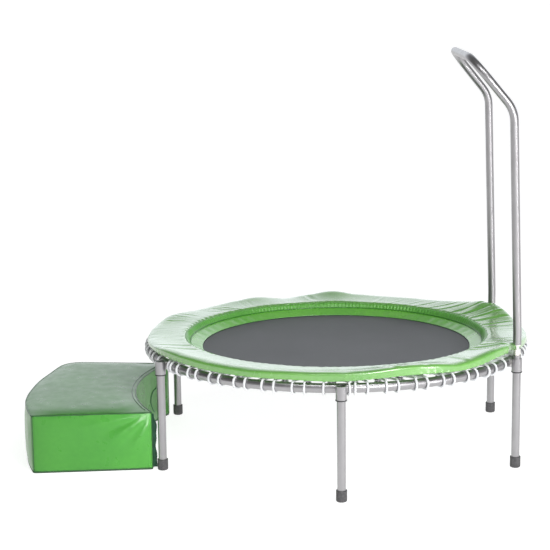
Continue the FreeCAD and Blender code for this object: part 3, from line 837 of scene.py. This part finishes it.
def make_inner_band():
    """The strip from the pad's seam down to the mat, its hem, and the piping in the seam."""
    degrees, t = strip_grid(15)
    stops = [0, 0.12, 0.3, 0.62, 0.9, 1]
    profile_r = np.interp(t, stops, [469.0, 466.5, 461, 447, 434, 430.6])
    profile_z = np.interp(t, stops, [339.2, 337.2, 335.0, 328.9, 323.4, 322.0])
    ripple = gather(degrees, *SEAM_GATHERS) * np.exp(-((t / 0.22) ** 2)) * 0.9
    ripple = ripple + gather(degrees, 64, 31) * 0.7 * np.sin(math.pi * t)
    ripple = ripple + gather(degrees, 31, 32) * 2.0 * (1 - t) * t
    radius = profile_r - 0.4 * ripple + 0 * degrees
    height = profile_z + 0.8 * ripple * smooth_step(t, -0.1, 0.15) * (1 - smooth_step(t, 0.9, 1.02))
    height = np.maximum(height, np.interp(radius, [431, 455, 458, 474], [321.4, 329.2, 332.0, 333.0]))
    band = gathered_strip("pad_band", BAND_VINYL, degrees, radius, height)
    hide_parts("pad_inner_band")

    ring = np.linspace(-math.pi, math.pi, 1440, endpoint=False)
    waver = gather(np.degrees(ring), *SEAM_GATHERS)
    line = on_ring(ring, (468.0 + 0.4 * waver) * MM, (341.0 + 0.5 * waver) * MM)
    piping = tube_object("pad_piping", tube(line, 1.8 * MM, 10, closed=True), PIPING_VINYL)
    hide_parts("pad_seam_piping")
    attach(piping, "frame")

    foot = on_ring(ring, 430.9 * MM + 0 * ring, 322.6 * MM + 0 * ring)
    hem = tube_object("pad_band_hem", tube(foot, 1.1 * MM, 8, closed=True), LINE_VINYL)
    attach(hem, "frame")


# ---- mat

def make_mat():
    """The woven disc, with closer rows near its edge, and the rows of stitching that hold the webbing."""
    around, rows = 360, 46
    radii = np.concatenate([np.linspace(0.012, MAT_R - 0.03, rows - 8), np.linspace(MAT_R - 0.026, MAT_R, 8)])
    angle = np.linspace(0, 2 * math.pi, around, endpoint=False)
    grid_r, grid_a = radii[None, :] + 0 * angle[:, None], angle[:, None] + 0 * radii[None, :]
    sway = np.array([[noise.noise(Vector((r * math.cos(a) * 5, r * math.sin(a) * 5, 2))) for r in radii]
                     for a in angle])
    height = mat_high.z + 0.0004 * sway * (1 - smooth_step(grid_r, MAT_R - 0.06, MAT_R - 0.02)) - 0.0002
    points = on_ring(grid_a, grid_r, height).reshape(-1, 3)
    faces = ring_faces(around, rows, False)
    points = np.vstack([points, (AXIS_X, 0, float(height[:, 0].mean()))])
    centre = len(points) - 1
    faces += [(i * rows, (i + 1) % around * rows, centre) for i in range(around)]
    faces = [tuple(reversed(f)) if len(f) == 4 else f for f in faces]
    piece = mesh_object("mat_weave_sheet", points, faces, WEAVE)
    thickened(piece, 1.0 * MM, -1)
    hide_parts("mat_fabric")
    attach(piece, "mat")

    stitches = []
    for radius in (0.4285, 0.4475):
        count = int(2 * math.pi * radius / 0.006)
        for k in range(count):
            middle = 2 * math.pi * k / count
            half = 0.0021 / radius
            ends = on_ring(middle + half * np.array([-1, -0.4, 0.4, 1]), np.full(4, radius),
                           mat_high.z + np.array([-0.0002, 0.00035, 0.00035, -0.0002]))
            stitches.append(tube(ends, 0.00035, 5))
    thread = tube_object("mat_stitching", joined(stitches), WEBBING)
    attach(thread, "mat")


# ---- lacing

# in metres: a hook's pin and the circle the pins stand on, the elastic's radius and its gap to what it rounds
PIN_R, PIN_CIRCLE, CORD_R, CORD_GAP = 0.0042, 0.466, 0.0035, 0.0003
UPPER_BIGHT, LOWER_BIGHT = 0.3225, 0.3085  # heights on the pin
LOOPS, FIRST_LOOP, PER_LEG = 42, 35.5, 7  # the first loop's place is in degrees
# how far aside a strand crosses the ring, and how far one does that goes past a leg
SPREAD, DISPLACED = 0.017, 0.052


ARC_STEP, RUN_STEP = 0.0011, 0.012  # how far apart a cord's points are, at most, on an arc and on a run


def rounded(corners, radii):
    """Points along straight runs through the corners, with a tangent arc at each inner corner."""
    path = [corners[0]]
    for index in range(1, len(corners) - 1):
        corner = corners[index]
        back = (corners[index - 1] - corner).normalized()
        ahead = (corners[index + 1] - corner).normalized()
        half = (math.pi - back.angle(ahead)) / 2
        bisector = (back + ahead).normalized()
        centre = corner + bisector * radii[index] / math.cos(half)
        first = corner + back * radii[index] * math.tan(half) - centre
        axis = back.cross(first).normalized()
        count = max(4, int(2 * half * radii[index] / ARC_STEP))
        path += [centre + Matrix.Rotation(2 * half * k / count, 3, axis) @ first for k in range(count + 1)]
    path.append(corners[-1])
    filled = [path[0]]
    for point in path[1:]:
        start = filled[-1]
        pieces = max(1, int((point - start).length / RUN_STEP))
        filled += [start.lerp(point, (k + 1) / pieces) for k in range(pieces)]
    return filled


def strand_points(reach):
    """Half of one elastic loop, from the pin over the ring, round its outside and back below to the pin."""
    side = math.copysign(1, reach)
    bight = PIN_R + CORD_GAP + CORD_R
    over_ring = math.sqrt(RING_R**2 - reach**2)
    span = over_ring - PIN_CIRCLE
    slant = math.atan2(abs(reach), span) - math.asin(bight / math.hypot(abs(reach), span))
    ahead = Vector((math.cos(slant), side * math.sin(slant), 0))
    corner_y = bight * math.cos(slant) - bight * (1 - math.sin(slant)) * math.tan(slant)
    corner = Vector((PIN_CIRCLE - bight, side * corner_y, 0))
    crossing = (Vector((over_ring, reach, 0)) - corner).dot(ahead)
    tube_slant = slant - math.asin(abs(reach) / RING_R)
    wrap = (TUBE_R + CORD_GAP) / math.cos(tube_slant) + CORD_R
    outer = crossing + wrap
    runs = []
    for level, sign in ((UPPER_BIGHT, 1), (LOWER_BIGHT, -1)):
        rise = RING_Z - level
        slope = math.atan2(rise, crossing) + sign * math.asin(wrap / math.hypot(rise, crossing))
        pin_corner = corner + Vector((0, 0, level))
        ring_corner = corner + ahead * outer + Vector((0, 0, level + outer * math.tan(slope)))
        runs.append([Vector((pin_corner.x, 0, level)), pin_corner, ring_corner])
    upper, lower = runs
    return rounded(upper + lower[::-1], [0, bight, wrap, wrap, bight, 0])


def make_lacing():
    """Each doubled loop is a piece of its own: two strands from the pin, over the ring and round its outside, back
    to the pin below.
    """
    strands = {reach: strand_points(reach) for reach in (SPREAD, -SPREAD, DISPLACED)}
    for index in range(LOOPS):
        degrees = FIRST_LOOP + 360 / LOOPS * index
        turn = Matrix.Rotation(math.radians(degrees), 3, "Z")
        reaches = (-SPREAD, DISPLACED if index % PER_LEG == PER_LEG - 1 else SPREAD)
        parts = []
        for reach in reaches:
            path = [turn @ p + Vector((AXIS_X, 0, 0)) for p in strands[reach]]
            parts.append(tube([tuple(p) for p in path], CORD_R, 12))
        piece = tube_object(f"lacing_loop_{index + 1:02d}", joined(parts), CORD)
        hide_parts("lacing_cord")
        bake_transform(piece)


# ---- step

# the crescent in metres about the ring's axis: its two radii, and its half width at two distances
STEP_IN, STEP_OUT = 0.650, 0.985
NEAR, NEAR_HALF, FAR, FAR_HALF = 0.560, 0.311, 1.010, 0.350
TIP_ROUND, FRONT_ROUND, REAR_ROUND = 0.008, 0.009, 0.064
FULLER = 0.0135
WELT_R = 0.0021
FLAP = 0.0135
STEP_LOW, STEP_TOP = step_low.z, step_high.z - 0.0006
# points along the crescent, from its inner to its outer side, and in its height
STEP_COUNTS = (86, 42, 23)
# folds on the front end: angle below the top edge in degrees, half width, height and length in metres
FRONT_FOLDS = [
    (10, 0.008, 0.0040, 0.26), (21, 0.008, -0.0036, 0.22), (33, 0.009, 0.0044, 0.22),
    (48, 0.010, -0.0036, 0.17), (64, 0.011, 0.0032, 0.17),
]
# the zip's closed end: turn from -X toward the rear in degrees, height in metres
ZIP_CURVE = [(22, 0.122), (19.5, 0.120), (16.5, 0.112), (15.2, 0.100), (14.8, 0.085), (15.4, 0.070), (16.5, 0.055),
             (18, 0.040)]


def end_line(radius):
    """The half angle, from -X, at which a circle about the ring's axis meets the step's end."""
    angle = 0.4
    for _ in range(40):
        x, y = radius * math.cos(angle), radius * math.sin(angle)
        want = NEAR_HALF + (FAR_HALF - NEAR_HALF) * (x - NEAR) / (FAR - NEAR)
        angle += (want - y) / radius
    return angle


def fuller(angle):
    """How far the outer side stands out beyond its circle: the foam is pushed toward the front end."""
    degrees = np.degrees(angle)
    return FULLER * smooth_step(degrees, -3, 12) - 0.007 * np.exp(-(((degrees + 11) / 6) ** 2))


def resampled(line, start, end, count):
    """Even points along a line, from start metres after its beginning to end metres before its end."""
    length = np.concatenate([[0], np.cumsum(np.linalg.norm(np.diff(line, axis=0), axis=1))])
    at = np.linspace(start, length[-1] - end, count)
    return np.stack([np.interp(at, length, line[:, k]) for k in (0, 1)], -1)


def step_sides(counts):
    """The step's outline as four sides, inner, rear end, outer and front end, each with its count of points."""
    inner, outer, front_outer = end_line(STEP_IN), end_line(STEP_OUT), end_line(STEP_OUT + FULLER)
    arc_in = [(STEP_IN, a) for a in np.linspace(inner, -inner, 200)]
    arc_out = [(STEP_OUT + fuller(a), a) for a in np.linspace(-outer, front_outer, 200)]

    def plan(radius, angle):
        return np.array([AXIS_X - radius * math.cos(angle), -radius * math.sin(angle)])

    def bend(a, b, c, t):
        return (1 - t) ** 2 * a + 2 * t * (1 - t) * b + t**2 * c

    sides = [
        np.array([plan(*p) for p in arc_in]),
        np.linspace(plan(STEP_IN, -inner), plan(STEP_OUT, -outer), 120),
        np.array([plan(*p) for p in arc_out]),
        np.linspace(plan(STEP_OUT + FULLER, front_outer), plan(STEP_IN, inner), 120),
    ]
    radii = [TIP_ROUND, TIP_ROUND, REAR_ROUND, FRONT_ROUND]  # at each side's start
    trimmed = [resampled(side, radii[n], radii[(n + 1) % 4], 160) for n, side in enumerate(sides)]
    shaped = []
    for index, side in enumerate(trimmed):
        corner, after = sides[index][0], sides[(index + 1) % 4][0]
        previous, following = trimmed[index - 1][-1], trimmed[(index + 1) % 4][0]
        head = [bend(previous, corner, side[0], t) for t in np.linspace(0.5, 1, 12)[:-1]]
        tail = [bend(side[-1], after, following, t) for t in np.linspace(0, 0.5, 12)[1:]]
        shaped.append(resampled(np.vstack([head, side, tail]), 0, 0, counts[index]))
    return shaped


def make_step_cover():
    """The step's vinyl cover over its foam: panels that swell between the welted edges."""
    across, deep, high = STEP_COUNTS
    inner, rear, outer, front = step_sides((across, deep, across, deep))
    outer, rear_out = outer[::-1], front[::-1]  # both now run the same way as the sides facing them
    u = np.linspace(0, 1, across)[:, None, None]
    v = np.linspace(0, 1, deep)[None, :, None]
    # u runs along the inner side from the front tip to the rear tip, v from inner to outer
    plan = ((1 - v) * inner[:, None] + v * outer[:, None]
            + (1 - u) * rear_out[None] + u * rear[None]
            - ((1 - u) * (1 - v) * inner[0] + u * (1 - v) * inner[-1]
               + (1 - u) * v * outer[0] + u * v * outer[-1]))
    index, points = {}, []
    for i in range(across):
        for j in range(deep):
            for k in range(high):
                if i in (0, across - 1) or j in (0, deep - 1) or k in (0, high - 1):
                    index[i, j, k] = len(points)
                    points.append((*plan[i, j], STEP_LOW + (STEP_TOP - STEP_LOW) * k / (high - 1)))
    faces = []
    last = (across - 1, deep - 1, high - 1)
    for axis in range(3):
        one, two = [a for a in range(3) if a != axis]
        for end in (0, last[axis]):
            for p in range(last[one]):
                for q in range(last[two]):
                    corner = [0, 0, 0]
                    quad = []
                    for dp, dq in ((0, 0), (1, 0), (1, 1), (0, 1)):
                        corner[axis], corner[one], corner[two] = end, p + dp, q + dq
                        quad.append(index[tuple(corner)])
                    # outward winding: the order flips for the middle axis and for the near ends
                    flip = (axis == 1) != (end == 0)
                    faces.append(tuple(reversed(quad)) if flip else tuple(quad))
    points = np.array(points)
    piece = mesh_object("step_skin", points, faces, STEP_VINYL)
    # seams: round the top, round the bottom and up the two tips; they stay sharp and in place
    on_seam = np.zeros(len(points))
    for (i, j, k), n in index.items():
        at_end = i in (0, last[0])
        if (at_end or j in (0, last[1])) and k in (0, last[2]) or at_end and j == 0:
            on_seam[n] = 1
    crease = piece.data.attributes.new("crease_edge", "FLOAT", "EDGE")
    crease.data.foreach_set("value", [on_seam[list(e.vertices)].prod() for e in piece.data.edges])
    held = on_seam.copy()
    held[points[:, 2] < STEP_LOW + 1e-6] = 1
    puffed(piece, held, pressure=4, growth=0.008, cap=0.009, bending=4.0, smoothing=14)
    pulled_folds(piece, points[index[0, 0, last[2]]])
    subdivided(piece)
    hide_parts("step_cover", "step_foam")
    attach(piece, "step")
    corners = [plan[0, 0], plan[-1, 0], plan[-1, -1], plan[0, -1]]
    edge = np.vstack([plan[:, 0], plan[-1, 1:], plan[::-1, -1][1:], plan[0, ::-1][1:-1]])
    light_front_end(piece)
    skin = BVHTree.FromPolygons(coordinates(piece).tolist(), [tuple(f.vertices) for f in piece.data.polygons])
    return edge, corners, skin


def light_front_end(piece):
    """A small lamp low by the front tip that lights only the step's cover, to bring out its folds."""
    lamp = make_area_light("step_fill", (-0.22, -0.78, 0.2), (-0.42, -0.32, 0.15), (0.2, 0.15), 2.6)
    lit = bpy.data.collections.new("step_fill_lights")
    lit.objects.link(piece)
    lamp.light_linking.receiver_collection = lit


def pulled_folds(piece, tip):
    """Shallow folds on the front end, which fan out from the top of its tip, where the zip pulls."""
    points, out = coordinates(piece), normals(piece)
    away = np.hypot(points[:, 0] - tip[0], points[:, 1] - tip[1]) * np.sign(tip[0] - points[:, 0])
    below = tip[2] - points[:, 2]
    reach = np.hypot(away, below)
    turn = np.arctan2(below, np.maximum(away, 1e-6))
    rise = np.zeros(len(points))
    for degrees, width, height, length in FRONT_FOLDS:
        off = np.sin(turn - math.radians(degrees)) * reach / width
        along = smooth_step(reach, 0.012, 0.05) * (1 - smooth_step(reach, 0.5 * length, length))
        rise += height * np.exp(-(off**2)) * along
    on_end = smooth_step(-out[:, 1], 0.75, 0.95) * smooth_step(below, 0.004, 0.02)
    set_coordinates(piece, points + out * (rise * on_end)[:, None])


def make_step_piping(edge, corners, skin):
    """The welts along the step's seams, and a second row on its top, set back from the recess."""
    runs = []
    centre = edge.mean(0)
    for height in (STEP_TOP - 0.0003, STEP_LOW + 0.0016):
        line = np.column_stack([edge, np.full(len(edge), height)])
        runs.append(tube(line, WELT_R, 8, closed=True))
    for corner in corners:
        inward = (centre - corner) / np.linalg.norm(centre - corner) * 0.0004
        line = [(*(corner + inward), z) for z in np.linspace(STEP_LOW + 0.001, STEP_TOP - 0.001, 24)]
        runs.append(tube(line, WELT_R * 0.85, 8))
    recess = edge[:STEP_COUNTS[0]]
    back = recess + (np.array([AXIS_X, 0]) - recess) * (-0.011 / STEP_IN)
    line = [skin.ray_cast(Vector((x, y, 0.3)), Vector((0, 0, -1)))[0] for x, y in back[4:-4]]
    runs.append(tube([tuple(place + Vector((0, 0, 0.0004))) for place in line], 0.0014, 6))
    welts = tube_object("step_piping", joined(runs), WELT_VINYL)
    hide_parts("step_welts")
    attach(welts, "step")


def make_step_base(edge):
    count = len(edge)
    points = [(*p, z) for z in (0, STEP_LOW) for p in edge]
    faces = [tuple(range(count))[::-1], tuple(range(count, 2 * count))]
    faces += [(n, (n + 1) % count, count + (n + 1) % count, count + n) for n in range(count)]
    base = mesh_object("step_base_panel", points, faces, BASE_VINYL, smooth=False)
    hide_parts("step_base")
    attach(base, "step")


def make_zip(tip, skin):
    """The flap, a tape that stands out past the tip, the teeth on its edge, and the zip's end on the recess."""
    tall, wide = 60, 7
    lowest, highest = 0.006, 0.176
    z = np.linspace(lowest, highest, tall)
    swing = 0.0016 * np.sin(z * 62) + 0.001 * np.sin(z * 140 + 1)
    reach = np.linspace(-0.006, 1, wide)
    width = FLAP * (1 - 0.35 * smooth_step(z, 0.14, highest)) + swing
    points = []
    for row in range(tall):
        for share in reach:
            x = tip[0] - 0.002 + share * width[row]
            y = tip[1] + 0.002 + 0.006 * math.sin(share * 2.2) + 0.5 * swing[row] * share
            points.append((x, y, z[row]))
    faces = [(r * wide + c, r * wide + c + 1, (r + 1) * wide + c + 1, (r + 1) * wide + c)
             for r in range(tall - 1) for c in range(wide - 1)]
    flap = mesh_object("step_zip_flap", points, faces, ZIP)
    thickened(flap, 0.0012, 0)
    flap.data.shade_smooth()
    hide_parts("step_zip")
    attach(flap, "step")

    free_edge = [points[r * wide + wide - 1] for r in range(tall)]
    parts = [tube(free_edge, 0.0009, 6)]
    for k, at in enumerate(np.arange(lowest + 0.002, highest - 0.002, 0.0026)):
        centre = [np.interp(at, z, [p[a] for p in free_edge]) for a in (0, 1)]
        side = 0.0011 if k % 2 else -0.0011
        ends = [(centre[0] + shift, centre[1] + side, at) for shift in (-0.0008, 0.0014)]
        parts.append(tube(ends, 0.0008, 6))
    at, knots = np.linspace(0, 1, 40), np.linspace(0, 1, len(ZIP_CURVE))
    turns = np.radians(np.interp(at, knots, [row[0] for row in ZIP_CURVE]))
    heights = np.interp(at, knots, [row[1] for row in ZIP_CURVE])
    line = []
    for turn, height in zip(turns, heights):
        outward = Vector((-math.cos(turn), math.sin(turn), 0))
        place = Vector((AXIS_X, 0, height)) + outward * 0.5
        line.append(tuple(skin.ray_cast(place, outward)[0] - outward * 0.0006))
    parts.append(tube(line, 0.0017, 6))
    zip_teeth = tube_object("step_zip_teeth", joined(parts), TEETH)
    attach(zip_teeth, "step")


make_lacing()
make_mat()
make_pad_cover()
make_inner_side()
make_inner_band()
edge, corners, skin = make_step_cover()
make_step_piping(edge, corners, skin)
make_step_base(edge)
make_zip(corners[0], skin)
